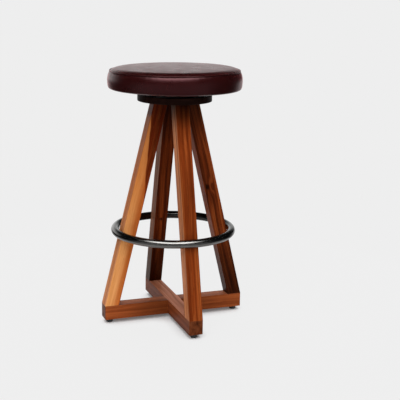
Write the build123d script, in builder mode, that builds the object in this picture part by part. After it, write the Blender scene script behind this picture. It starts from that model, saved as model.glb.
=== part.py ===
import os
from math import atan, cos, degrees, radians, sin, sqrt, tan

from build123d import *

# Round swivel bar stool, in millimetres.
# The origin is on the floor under the middle of the seat, and +Z points up.
# The two base rails lie along X and Y. The front leg stands towards -Y.

os.makedirs("parts", exist_ok=True)

# Shared clearances
overrun = 2.0                   # how far a cut runs past what it cuts
glue_gap = 0.1                  # round a dowel, in a lap joint and round the foot ring
screw_gap = 0.1                 # round a screw's shank or head
running_gap = 0.05              # between ball and race, and between pivot and plate

# Timber frame
timber = 41.5                   # square section of the legs, and width of the rails
rail_depth = 43.0               # height of the rails
edge_ease = 1.2                 # rounding of the edges
rail_reach = 218.0              # middle of the base to a rail's end
leg_rise = 609.5                # height of a leg, from rail to disc
leg_top_reach = 68.8            # axis to a leg's outer face, at the disc

# Glides
glide_height = 12.5
glide_radius = 10.0
glide_edge = 1.5                # rounding at the floor
glide_inset = 18.0              # rail's end to a glide's middle
glide_recess_radius = 5.0
glide_recess_depth = 6.0
glide_screw_radius = 2.1
glide_screw_grip = 22.0         # length in the rail
glide_head_radius = 4.2
glide_head_height = 2.6

# Dowels and lap screw
dowel_radius = 5.0
dowel_length = 44.0
dowel_spread = 20.0             # between the two dowels of a foot
dowel_inset = 26.0              # rail's end to the dowels
dowel_end = 1.0                 # bevel at a dowel's ends, and room beyond them
lap_screw_radius = 2.5
lap_screw_length = 34.0
lap_head_radius = 5.0
lap_head_height = 3.0

# Foot ring
tube_radius = 12.0
tube_wall = 2.0
ring_height = 275.0             # floor to the middle of the tube
ring_sink = 1.0                 # how deep the tube lies in the legs' outer faces
ring_screw_radius = 3.0
ring_head_radius = 5.2
ring_head_height = 5.0
ring_head_sink = 12.0           # leg's inner face to the seat of the head
ring_screw_past = 2.0           # how far the tip stands inside the tube
hex_key_radius = 2.8
hex_key_depth = 2.8

# Mounting disc
disc_radius = 110.0
disc_thickness = 19.0
disc_edge = 1.5
disc_screw_radius = 2.5
disc_screw_length = 60.0
disc_head_radius = 5.0
disc_head_height = 2.5
disc_screw_inset = 17.0         # leg's outer face, at the disc, to the screws
disc_screw_spread = 20.0        # between the two screws of a leg
access_radius = 4.0             # hole through which the upper screws are driven
access_heading = 110.0          # degrees from +X

# Swivel
swivel_height = 17.0            # disc to the top of the upper plate
plate_size = 150.0
plate_corner = 12.0
plate_thickness = 2.5
plate_turn = 45.0               # degrees from the lower plate to the upper one
plate_screw_inset = 15.0        # plate's edge to a screw hole
plate_screw_radius = 2.1
plate_screw_grip = 13.0         # length in the wood
plate_head_radius = 4.0
plate_head_height = 2.4
race_radius = 45.0              # axis to the balls' middles
ball_radius = 4.0
ball_count = 16
land_height = 1.4               # balls' middles to the land beside the groove
land_width = 12.0               # groove's middle to the land's edge
press_run = 5.0                 # width of each slope in a pressed plate
hub_height = 2.5                # balls' middles to the hub's face
cage_thickness = 1.5
cage_width = 14.0
cage_gap = 0.1                  # round each ball
rivet_radius = 6.0
rivet_collar_radius = 9.0
rivet_head_radius = 10.5
rivet_head_height = 2.2
washer_thickness = 1.0
washer_radius = 11.0
face_gap = 0.1                  # between faces that turn past each other

# Seat board and cloth
cloth = 0.8
board_thickness = 15.0
skirt = 1.0                     # foam below the board's edge

# Cushion
leather = 1.5
seat_radius = 198.2             # at the widest
seat_thickness = 64.7           # turned-under leather to the crown
crown_drop = 3.0                # from the crown to the start of the shoulder
crown_inset = 33.0              # widest radius to the start of the shoulder
seam_drop = 11.5                # from the crown to the seam
seam_inset = 7.7                # widest radius to the seam
seam_lean = 42.0                # degrees, how steeply the seam looks up
widest_drop = 39.0              # from the crown to the widest place
tuck_rise = 5.7                 # turned-under leather to where the side tucks in
tuck_inset = 2.0
base_inset = 9.2                # widest radius to the edge of the underside
turn_under = 23.0               # leather on the underside, from that edge
welt_radius = 1.8
welt_sink = 0.5                 # welt's middle below the leather's face

# Staples
staple_count = 24
staple_width = 10.0
staple_depth = 6.0
staple_wire = 0.7
staple_inset = 10.0             # edge of the underside to the staples

# Heights of the stack
rail_bottom = glide_height
rail_middle = rail_bottom + rail_depth / 2
rail_top = rail_bottom + rail_depth
leg_top = rail_top + leg_rise
disc_top = leg_top + disc_thickness
swivel_middle = disc_top + swivel_height / 2
swivel_top = disc_top + swivel_height
board_bottom = swivel_top + cloth
board_top = board_bottom + board_thickness
under_leather = board_bottom - leather
crown_top = under_leather + seat_thickness

# Slope of the legs
lean = atan((rail_reach - leg_top_reach) / leg_rise)
leg_run = timber / cos(lean)    # a leg's thickness, measured level
leg_foot_inner = rail_reach - leg_run


def leg_outer(height):
    """Distance from the axis to a leg's outer face at a height."""
    return rail_reach - (height - rail_top) * tan(lean)


# Where things stand round the axis
headings = {"right": 0, "back": 90, "left": 180, "front": 270}
foot_radius = rail_reach - glide_inset
dowel_place = rail_reach - dowel_inset
disc_screw_place = leg_top_reach - disc_screw_inset
plate_screw_place = sqrt(2) * (plate_size / 2 - plate_screw_inset)
disc_head_angle = 2 * degrees(atan((disc_head_radius - disc_screw_radius) / disc_head_height))
ring_radius = leg_outer(ring_height) - ring_sink + tube_radius
ring_head_seat = leg_outer(ring_height) - leg_run + ring_head_sink
base_radius = seat_radius - base_inset
board_radius = base_radius - skirt
turn_radius = base_radius - turn_under
staple_radius = base_radius - staple_inset
seam_radius = seat_radius - seam_inset
seam_height = crown_top - seam_drop


def upright(heading):
    """Vertical plane through the axis: its x runs outwards at the heading, its y runs up."""
    outwards = Vector(1, 0, 0).rotate(Axis.Z, heading)
    across = Vector(0, -1, 0).rotate(Axis.Z, heading)
    return Plane(origin=(0, 0, 0), x_dir=outwards, z_dir=across)


def facing(heading, reach, height):
    """Plane that looks outwards at the heading: its x runs sideways and its y runs up."""
    outwards = Vector(1, 0, 0).rotate(Axis.Z, heading)
    sideways = Vector(0, 1, 0).rotate(Axis.Z, heading)
    origin = outwards * reach + Vector(0, 0, height)
    return Plane(origin=origin, x_dir=sideways, z_dir=outwards)


def pairs(reach, spread, height):
    """Two places beside each other at each of the four headings."""
    places = []
    for heading in headings.values():
        for side in (1, -1):
            place = Vector(reach, side * spread / 2, height).rotate(Axis.Z, heading)
            places.append(place)
    return places


def ring_of(reach, height, start=0):
    """Four places round the axis."""
    return [Vector(reach, 0, height).rotate(Axis.Z, start + h) for h in headings.values()]


def export(part, name):
    part.label = name
    export_step(part, f"parts/{name}.step")


# Legs
for side, heading in headings.items():
    with BuildPart() as leg:
        with BuildSketch(upright(heading)):
            with BuildLine():
                Polyline(
                    (rail_reach, rail_top),
                    (leg_foot_inner, rail_top),
                    (leg_top_reach - leg_run, leg_top),
                    (leg_top_reach, leg_top),
                    close=True,
                )
            make_face()
        extrude(amount=timber / 2, both=True)
        fillet(leg.edges().group_by(SortBy.LENGTH)[-1], radius=edge_ease)
        # Shallow cove that the foot ring lies in
        with Locations((0, 0, ring_height)):
            Torus(ring_radius, tube_radius + glue_gap, mode=Mode.SUBTRACT)
        # Hole and counterbore of the ring screw
        with BuildSketch(facing(heading, 0, ring_height)):
            Circle(ring_screw_radius + screw_gap)
        extrude(amount=ring_radius, mode=Mode.SUBTRACT)
        with BuildSketch(facing(heading, 0, ring_height)):
            Circle(ring_head_radius + screw_gap)
        extrude(amount=ring_head_seat, mode=Mode.SUBTRACT)
        # Dowel holes in the foot
        with Locations(*pairs(dowel_place, dowel_spread, rail_top)):
            Cylinder(
                dowel_radius + glue_gap,
                dowel_length / 2 + dowel_end,
                align=(Align.CENTER, Align.CENTER, Align.MIN),
                mode=Mode.SUBTRACT,
            )
        # Screw holes in the top
        with Locations(*pairs(disc_screw_place, disc_screw_spread, leg_top)):
            Cylinder(
                disc_screw_radius + screw_gap,
                disc_screw_length - disc_thickness + screw_gap,
                align=(Align.CENTER, Align.CENTER, Align.MAX),
                mode=Mode.SUBTRACT,
            )
    export(leg.part, f"leg_{side}")

# Rails, half lapped where they cross
rails = {
    "rail_left_right": ("right", rail_middle - glue_gap / 2, rail_top + overrun),
    "rail_front_back": ("back", rail_bottom - overrun, rail_middle + glue_gap / 2),
}
for name, (side, lap_low, lap_high) in rails.items():
    heading = headings[side]
    with BuildPart() as rail:
        with BuildSketch(upright(heading)):
            with BuildLine():
                Polyline(
                    (-rail_reach, rail_top),
                    (rail_reach, rail_top),
                    (rail_reach, rail_bottom),
                    (-rail_reach, rail_bottom),
                    close=True,
                )
            make_face()
        extrude(amount=timber / 2, both=True)
        upright_edges = rail.edges().filter_by(Axis.Z)
        lower_edges = rail.faces().sort_by(Axis.Z)[0].edges()
        fillet(upright_edges + lower_edges, radius=edge_ease)
        # The upper edges are eased where no leg and no other rail meets them
        for end in (heading, heading + headings["left"]):
            with BuildSketch(facing(end, timber / 2, rail_top)):
                with Locations((timber / 2, 0), (-timber / 2, 0)):
                    RegularPolygon(edge_ease, 4)
            extrude(amount=leg_foot_inner - timber / 2, mode=Mode.SUBTRACT)
        # Lap joint
        with BuildSketch(Plane.XY.offset(lap_low)):
            Rectangle(timber + 2 * glue_gap, timber + 2 * glue_gap)
        extrude(amount=lap_high - lap_low, mode=Mode.SUBTRACT)
        # Lap screw, dowels and glide screws
        with Locations((0, 0, rail_bottom)):
            Cylinder(
                lap_screw_radius + screw_gap,
                lap_screw_length + screw_gap,
                align=(Align.CENTER, Align.CENTER, Align.MIN),
                mode=Mode.SUBTRACT,
            )
            Cone(
                lap_head_radius + screw_gap,
                lap_screw_radius + screw_gap,
                lap_head_height,
                align=(Align.CENTER, Align.CENTER, Align.MIN),
                mode=Mode.SUBTRACT,
            )
        with Locations(*pairs(dowel_place, dowel_spread, rail_top)):
            Cylinder(
                dowel_radius + glue_gap,
                dowel_length / 2 + dowel_end,
                align=(Align.CENTER, Align.CENTER, Align.MAX),
                mode=Mode.SUBTRACT,
            )
        with Locations(*ring_of(foot_radius, rail_bottom)):
            Cylinder(
                glide_screw_radius + screw_gap,
                glide_screw_grip + screw_gap,
                align=(Align.CENTER, Align.CENTER, Align.MIN),
                mode=Mode.SUBTRACT,
            )
    export(rail.part, name)

with BuildPart() as foot_dowels:
    with Locations(*pairs(dowel_place, dowel_spread, rail_top)):
        Cylinder(dowel_radius, dowel_length)
    chamfer(foot_dowels.edges().filter_by(GeomType.CIRCLE), length=dowel_end)
export(foot_dowels.part, "foot_dowels")

with BuildPart() as lap_screw:
    with Locations((0, 0, rail_bottom)):
        Cylinder(
            lap_screw_radius,
            lap_screw_length,
            align=(Align.CENTER, Align.CENTER, Align.MIN),
        )
        Cone(
            lap_head_radius,
            lap_screw_radius,
            lap_head_height,
            align=(Align.CENTER, Align.CENTER, Align.MIN),
        )
export(lap_screw.part, "lap_screw")

# Glides
glide_seat = glide_recess_depth + glide_head_height
for side, heading in headings.items():
    with BuildPart() as glide:
        with Locations(Vector(foot_radius, 0, 0).rotate(Axis.Z, heading)):
            Cylinder(
                glide_radius,
                glide_height,
                align=(Align.CENTER, Align.CENTER, Align.MIN),
            )
            fillet(glide.edges().group_by(Axis.Z)[0], radius=glide_edge)
            Cylinder(
                glide_recess_radius,
                glide_seat,
                align=(Align.CENTER, Align.CENTER, Align.MIN),
                mode=Mode.SUBTRACT,
            )
            Cylinder(
                glide_screw_radius + screw_gap,
                glide_height,
                align=(Align.CENTER, Align.CENTER, Align.MIN),
                mode=Mode.SUBTRACT,
            )
    export(glide.part, f"glide_{side}")

with BuildPart() as glide_screws:
    with Locations(*ring_of(foot_radius, glide_recess_depth)):
        Cylinder(
            glide_head_radius,
            glide_head_height,
            align=(Align.CENTER, Align.CENTER, Align.MIN),
        )
    with Locations(*ring_of(foot_radius, glide_seat)):
        Cylinder(
            glide_screw_radius,
            rail_bottom - glide_seat + glide_screw_grip,
            align=(Align.CENTER, Align.CENTER, Align.MIN),
        )
export(glide_screws.part, "glide_screws")

# Foot ring: four quarters of tube with a screw hole in each, closed into one shell
ring_inner = ring_radius - tube_radius
quarter_turn = headings["back"]
with BuildPart() as quarter:
    with BuildSketch(upright(-quarter_turn / 2)):
        with Locations((ring_radius, ring_height)):
            Circle(tube_radius)
            Circle(tube_radius - tube_wall, mode=Mode.SUBTRACT)
    revolve(axis=Axis.Z, revolution_arc=quarter_turn)
    with BuildSketch(facing(0, 0, ring_height)):
        Circle(ring_screw_radius + screw_gap)
    extrude(amount=ring_radius, mode=Mode.SUBTRACT)
walls = quarter.faces().filter_by(GeomType.PLANE, reverse=True)
ring_faces = [wall.rotate(Axis.Z, heading) for heading in headings.values() for wall in walls]
with BuildPart() as foot_ring:
    add(Solid(Shell(ring_faces)), clean=False)
export(foot_ring.part, "foot_ring")

with BuildPart() as ring_screws:
    for heading in headings.values():
        with BuildSketch(facing(heading, ring_head_seat - ring_head_height, ring_height)):
            Circle(ring_head_radius)
        extrude(amount=ring_head_height)
        with BuildSketch(facing(heading, ring_head_seat, ring_height)):
            Circle(ring_screw_radius)
        extrude(amount=ring_inner + tube_wall + ring_screw_past - ring_head_seat)
        with BuildSketch(facing(heading, ring_head_seat - ring_head_height, ring_height)):
            RegularPolygon(hex_key_radius, 6)
        extrude(amount=hex_key_depth, mode=Mode.SUBTRACT)
export(ring_screws.part, "ring_screws")

# Wooden plugs over the ring screws, cut flush with the legs' inner faces
with BuildPart() as ring_plugs:
    for heading in headings.values():
        with BuildSketch(facing(heading, 0, ring_height)):
            Circle(ring_head_radius)
        extrude(amount=ring_head_seat - ring_head_height)
    plug_low, plug_high = ring_height - timber / 2, ring_height + timber / 2
    for heading in headings.values():
        with BuildSketch(upright(heading)):
            with BuildLine():
                Polyline(
                    (0, plug_low),
                    (leg_outer(plug_low) - leg_run, plug_low),
                    (leg_outer(plug_high) - leg_run, plug_high),
                    (0, plug_high),
                    close=True,
                )
            make_face()
        extrude(amount=timber / 2, both=True, mode=Mode.SUBTRACT)
export(ring_plugs.part, "ring_plugs")

# Mounting disc
with BuildPart() as mounting_disc:
    with Locations((0, 0, leg_top)):
        Cylinder(
            disc_radius,
            disc_thickness,
            align=(Align.CENTER, Align.CENTER, Align.MIN),
        )
    fillet(mounting_disc.edges(), radius=disc_edge)
    with Locations(*pairs(disc_screw_place, disc_screw_spread, disc_top)):
        CounterSinkHole(
            disc_screw_radius + screw_gap,
            disc_head_radius + screw_gap,
            counter_sink_angle=disc_head_angle,
        )
    with Locations(*ring_of(plate_screw_place, disc_top, plate_turn)):
        Hole(plate_screw_radius + screw_gap, plate_screw_grip + screw_gap)
    with Locations(Vector(plate_screw_place, 0, disc_top).rotate(Axis.Z, access_heading)):
        Hole(access_radius)
export(mounting_disc.part, "mounting_disc")

with BuildPart() as disc_screws:
    with Locations(*pairs(disc_screw_place, disc_screw_spread, disc_top)):
        Cylinder(
            disc_screw_radius,
            disc_screw_length,
            align=(Align.CENTER, Align.CENTER, Align.MAX),
        )
        Cone(
            disc_screw_radius,
            disc_head_radius,
            disc_head_height,
            align=(Align.CENTER, Align.CENTER, Align.MAX),
        )
export(disc_screws.part, "disc_screws")

# Swivel: two pressed plates that face each other across the balls.
# The section of each is drawn as distances from the balls' middles.
groove_radius = ball_radius + running_gap
groove_outer = groove_radius + plate_thickness
groove_half = sqrt(groove_radius**2 - land_height**2)
groove_outer_half = sqrt(groove_outer**2 - (land_height + plate_thickness) ** 2)
land_inner = race_radius - land_width
land_outer = race_radius + land_width
hub_edge = land_inner - press_run
flange_edge = land_outer + press_run
flange_height = swivel_height / 2 - plate_thickness


def pressed_section(way):
    """Half section of a swivel plate, above (1) or below (-1) the balls."""

    def at(radius, distance):
        return (radius, swivel_middle + way * distance)

    bore = rivet_radius + running_gap
    lap = flange_edge + plate_thickness
    land_back = land_height + plate_thickness
    with BuildSketch(Plane.XZ) as section:
        with BuildLine():
            Polyline(
                at(bore, hub_height),
                at(hub_edge, hub_height),
                at(land_inner, land_height),
                at(race_radius - groove_half, land_height),
            )
            ThreePointArc(
                at(race_radius - groove_half, land_height),
                at(race_radius, groove_radius),
                at(race_radius + groove_half, land_height),
            )
            Polyline(
                at(race_radius + groove_half, land_height),
                at(land_outer, land_height),
                at(flange_edge, flange_height),
                at(lap, flange_height),
                at(lap, flange_height + plate_thickness),
                at(flange_edge, flange_height + plate_thickness),
                at(land_outer, land_back),
                at(race_radius + groove_outer_half, land_back),
            )
            ThreePointArc(
                at(race_radius + groove_outer_half, land_back),
                at(race_radius, groove_outer),
                at(race_radius - groove_outer_half, land_back),
            )
            Polyline(
                at(race_radius - groove_outer_half, land_back),
                at(land_inner, land_back),
                at(hub_edge, hub_height + plate_thickness),
                at(bore, hub_height + plate_thickness),
                at(bore, hub_height),
            )
        make_face()
    return section.sketch_local


def flange(turn):
    """Square flange with a round opening and four screw holes."""
    RectangleRounded(plate_size, plate_size, plate_corner, rotation=turn)
    Circle(flange_edge, mode=Mode.SUBTRACT)
    with PolarLocations(plate_screw_place, len(headings), start_angle=plate_turn + turn):
        Circle(plate_screw_radius + screw_gap, mode=Mode.SUBTRACT)


lower_section = pressed_section(-1)
upper_section = pressed_section(1)

with BuildPart() as swivel_bottom_plate:
    with BuildSketch(Plane.XZ):
        add(lower_section)
    revolve(axis=Axis.Z)
    with BuildSketch(Plane.XY.offset(disc_top)):
        flange(0)
    extrude(amount=plate_thickness)
export(swivel_bottom_plate.part, "swivel_bottom_plate")

with BuildPart() as swivel_top_plate:
    with BuildSketch(Plane.XZ):
        add(upper_section)
    revolve(axis=Axis.Z)
    with BuildSketch(Plane.XY.offset(swivel_top - plate_thickness)):
        flange(plate_turn)
    extrude(amount=plate_thickness)
export(swivel_top_plate.part, "swivel_top_plate")

with BuildPart() as swivel_bottom_screws:
    with Locations(*ring_of(plate_screw_place, disc_top + plate_thickness, plate_turn)):
        Cylinder(
            plate_screw_radius,
            plate_thickness + plate_screw_grip,
            align=(Align.CENTER, Align.CENTER, Align.MAX),
        )
        Cylinder(
            plate_head_radius,
            plate_head_height,
            align=(Align.CENTER, Align.CENTER, Align.MIN),
        )
export(swivel_bottom_screws.part, "swivel_bottom_screws")

with BuildPart() as swivel_top_screws:
    with Locations(*ring_of(plate_screw_place, swivel_top - plate_thickness)):
        Cylinder(
            plate_screw_radius,
            plate_thickness + plate_screw_grip,
            align=(Align.CENTER, Align.CENTER, Align.MIN),
        )
        Cylinder(
            plate_head_radius,
            plate_head_height,
            align=(Align.CENTER, Align.CENTER, Align.MAX),
        )
export(swivel_top_screws.part, "swivel_top_screws")

with BuildPart() as swivel_balls:
    with Locations((0, 0, swivel_middle)):
        with PolarLocations(race_radius, ball_count):
            Sphere(ball_radius)
export(swivel_balls.part, "swivel_balls")

with BuildPart() as ball_cage:
    with BuildSketch(Plane.XY.offset(swivel_middle - cage_thickness / 2)):
        Circle(race_radius + cage_width / 2)
        Circle(race_radius - cage_width / 2, mode=Mode.SUBTRACT)
        with PolarLocations(race_radius, ball_count):
            Circle(ball_radius + cage_gap, mode=Mode.SUBTRACT)
    extrude(amount=cage_thickness)
export(ball_cage.part, "ball_cage")

# Pivot: the rivet is closed under the lower plate and over the washer
rivet_low = swivel_middle - hub_height - plate_thickness
washer_low = swivel_middle + hub_height + plate_thickness + face_gap
washer_high = washer_low + washer_thickness
with BuildPart() as pivot_rivet:
    with BuildSketch(Plane.XZ):
        with BuildLine():
            Polyline(
                (0, rivet_low - rivet_head_height),
                (rivet_head_radius, rivet_low - rivet_head_height),
                (rivet_head_radius, rivet_low),
                (rivet_radius, rivet_low),
                (rivet_radius, swivel_middle - hub_height),
                (rivet_collar_radius, swivel_middle - hub_height),
                (rivet_collar_radius, swivel_middle + hub_height - face_gap),
                (rivet_radius, swivel_middle + hub_height - face_gap),
                (rivet_radius, washer_high),
                (rivet_head_radius, washer_high),
                (rivet_head_radius, washer_high + rivet_head_height),
                (0, washer_high + rivet_head_height),
                close=True,
            )
        make_face()
    revolve(axis=Axis.Z)
export(pivot_rivet.part, "pivot_rivet")

with BuildPart() as pivot_washer:
    with BuildSketch(Plane.XY.offset(washer_low)):
        Circle(washer_radius)
        Circle(rivet_radius + running_gap, mode=Mode.SUBTRACT)
    extrude(amount=washer_thickness)
export(pivot_washer.part, "pivot_washer")

# Staples: crowns pressed into the turned-under leather, legs in the board
with BuildPart() as cover_staples:
    for step in range(staple_count):
        with BuildSketch(facing(360 * step / staple_count, staple_radius, under_leather)):
            Rectangle(
                staple_width,
                staple_depth,
                align=(Align.CENTER, Align.MIN),
            )
            with Locations((0, staple_wire)):
                Rectangle(
                    staple_width - 2 * staple_wire,
                    staple_depth,
                    align=(Align.CENTER, Align.MIN),
                    mode=Mode.SUBTRACT,
                )
        extrude(amount=staple_wire / 2, both=True)
export(cover_staples.part, "cover_staples")

with BuildPart() as seat_board:
    with Locations((0, 0, board_bottom)):
        Cylinder(
            board_radius,
            board_thickness,
            align=(Align.CENTER, Align.CENTER, Align.MIN),
        )
    with Locations(*ring_of(plate_screw_place, board_bottom)):
        Cylinder(
            plate_screw_radius + screw_gap,
            plate_screw_grip - cloth + screw_gap,
            align=(Align.CENTER, Align.CENTER, Align.MIN),
            mode=Mode.SUBTRACT,
        )
    add(cover_staples.part, mode=Mode.SUBTRACT)
export(seat_board.part, "seat_board")

# Dust cover: flat under the board, and a step down over the leather's edge
riser = turn_radius - cloth
with BuildPart() as dust_cover:
    with BuildSketch(Plane.XZ):
        with BuildLine():
            Polyline(
                (0, board_bottom),
                (riser, board_bottom),
                (riser, under_leather),
                (staple_radius + staple_inset / 2, under_leather),
                (staple_radius + staple_inset / 2, under_leather - cloth),
                (riser - cloth, under_leather - cloth),
                (riser - cloth, swivel_top),
                (0, swivel_top),
                close=True,
            )
        make_face()
    revolve(axis=Axis.Z)
    with Locations(*ring_of(plate_screw_place, swivel_top)):
        Cylinder(
            plate_screw_radius + screw_gap,
            2 * overrun,
            mode=Mode.SUBTRACT,
        )
export(dust_cover.part, "dust_cover")

# Cushion: outer outline, and the filling one leather thickness inside it
crown_edge = (seat_radius - crown_inset, crown_top - crown_drop)
seam = (seam_radius, seam_height)
widest_height = crown_top - widest_drop
tuck = (seat_radius - tuck_inset, under_leather + tuck_rise)
with BuildSketch(Plane.XZ) as cushion:
    with BuildLine():
        crown = TangentArc((0, crown_top), crown_edge, tangent=(1, 0))
        shoulder = TangentArc(crown_edge, seam, tangent=crown % 1)
        side = TangentArc((seat_radius, widest_height), seam, tangent=(0, 1))
        lower = TangentArc((seat_radius, widest_height), tuck, tangent=(0, -1))
        corner = TangentArc(tuck, (base_radius, under_leather), tangent=lower % 1)
        Polyline(corner @ 1, (0, under_leather), (0, crown_top))
    make_face()


def inside(arc, turn):
    """Point one leather thickness to the right (1) or the left (-1) of an arc's end."""
    along = arc % 1
    return arc @ 1 + Vector(along.Y, -along.X) * turn * leather


with BuildSketch(Plane.XZ) as filling:
    with BuildLine():
        crown = TangentArc((0, crown_top - leather), inside(crown, 1), tangent=(1, 0))
        seam = (inside(shoulder, 1) + inside(side, -1)) / 2
        TangentArc(crown @ 1, seam, tangent=crown % 1)
        widest = (seat_radius - leather, widest_height)
        TangentArc(widest, seam, tangent=(0, 1))
        lower = TangentArc(widest, inside(lower, 1), tangent=(0, -1))
        corner = TangentArc(lower @ 1, (base_radius, board_bottom), tangent=lower % 1)
        Polyline(corner @ 1, (0, board_bottom), (0, crown_top - leather))
    make_face()

welt_middle = (
    seam_radius - welt_sink * cos(radians(seam_lean)),
    seam_height - welt_sink * sin(radians(seam_lean)),
)


def welt_groove():
    with Locations(welt_middle):
        Circle(welt_radius + glue_gap, mode=Mode.SUBTRACT)


with BuildPart() as seat_cover_top:
    with BuildSketch(Plane.XZ):
        add(cushion.sketch_local)
        add(filling.sketch_local, mode=Mode.SUBTRACT)
        with Locations((0, welt_middle[1])):
            Rectangle(
                3 * seat_radius,
                2 * seat_thickness,
                align=(Align.CENTER, Align.MAX),
                mode=Mode.SUBTRACT,
            )
        welt_groove()
    revolve(axis=Axis.Z)
export(seat_cover_top.part, "seat_cover_top")

with BuildPart() as seat_cover_band:
    with BuildSketch(Plane.XZ):
        add(cushion.sketch_local)
        add(filling.sketch_local, mode=Mode.SUBTRACT)
        with Locations((0, welt_middle[1])):
            Rectangle(
                3 * seat_radius,
                2 * seat_thickness,
                align=(Align.CENTER, Align.MIN),
                mode=Mode.SUBTRACT,
            )
        with Locations((0, board_bottom)):
            Rectangle(2 * turn_radius, 2 * seat_thickness, mode=Mode.SUBTRACT)
        welt_groove()
    revolve(axis=Axis.Z)
    add(cover_staples.part, mode=Mode.SUBTRACT)
export(seat_cover_band.part, "seat_cover_band")

with BuildPart() as seat_welt:
    with BuildSketch(Plane.XZ):
        with Locations(welt_middle):
            Circle(welt_radius)
    revolve(axis=Axis.Z)
export(seat_welt.part, "seat_welt")

with BuildPart() as seat_foam:
    with BuildSketch(Plane.XZ):
        add(filling.sketch_local)
        with Locations((0, board_top)):
            Rectangle(
                2 * board_radius,
                2 * board_thickness,
                align=(Align.CENTER, Align.MAX),
                mode=Mode.SUBTRACT,
            )
        welt_groove()
    revolve(axis=Axis.Z)
export(seat_foam.part, "seat_foam")
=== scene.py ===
import math
import random

import bmesh
import bpy
from mathutils import Matrix, Vector, kdtree, noise


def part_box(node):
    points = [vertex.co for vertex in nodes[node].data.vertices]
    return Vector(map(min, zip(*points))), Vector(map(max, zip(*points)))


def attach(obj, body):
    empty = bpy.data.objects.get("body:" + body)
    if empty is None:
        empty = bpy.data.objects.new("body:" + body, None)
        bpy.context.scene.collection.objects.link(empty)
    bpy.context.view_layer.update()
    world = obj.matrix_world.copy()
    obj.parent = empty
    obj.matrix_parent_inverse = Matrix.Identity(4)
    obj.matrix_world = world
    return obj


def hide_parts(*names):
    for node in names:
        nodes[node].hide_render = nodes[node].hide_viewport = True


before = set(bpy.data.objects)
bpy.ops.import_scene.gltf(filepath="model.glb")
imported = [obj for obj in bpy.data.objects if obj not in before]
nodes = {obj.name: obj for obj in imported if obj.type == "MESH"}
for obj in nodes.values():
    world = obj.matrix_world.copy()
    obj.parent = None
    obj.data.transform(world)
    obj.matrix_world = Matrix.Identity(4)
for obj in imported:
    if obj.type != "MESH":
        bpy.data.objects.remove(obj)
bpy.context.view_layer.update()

# Sizes in metres, which follow the solids
RAIL_REACH = 0.218                 # middle of the base to a rail's end
RAIL_TOP = 0.0555
LEG_TOP = 0.665
LEG_TOP_REACH = 0.0688             # axis to a leg's outer face, at its top
RING_TUBE = 0.012                  # radius of the foot ring's tube
SEAT_RADIUS = 0.1982               # at the seat's widest part
CROWN_TOP = 0.765
CROWN_DROP = 0.0030                # fall of the crown from its middle to the shoulder
SHOULDER_INSET = 0.033             # widest part to the crown's edge
WIDEST_DROP = 0.039                # crown's top to the height of the widest part
HEM_INSET = 0.002                  # widest part to where the leather begins to turn under
HEM_RISE = 0.0057                  # underside to that place
UNDER_INSET = 0.0092               # widest part to the edge of the flat underside
SEAM_RADIUS = 0.1905
SEAM_HEIGHT = 0.7535
UNDER = 0.7003                     # underside of the turned-in leather
TURN_RADIUS = 0.166                # inner edge of the turned-in leather
BOARD_BOTTOM = 0.7018

FULLER = 0.0105                    # slope of the padding, which is fuller on one side
PUFF = 0.2                         # share of the cloth's swelling that the cushion takes
STITCHES = 180                     # along the welt
STAPLES = 24                       # round the cloth under the seat
YAW = 0.32447                      # turn of the base in the photograph, in radians
HEADINGS = {"right": 0, "back": 90, "left": 180, "front": 270}
LEAN = math.atan((RAIL_REACH - LEG_TOP_REACH) / (LEG_TOP - RAIL_TOP))


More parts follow.
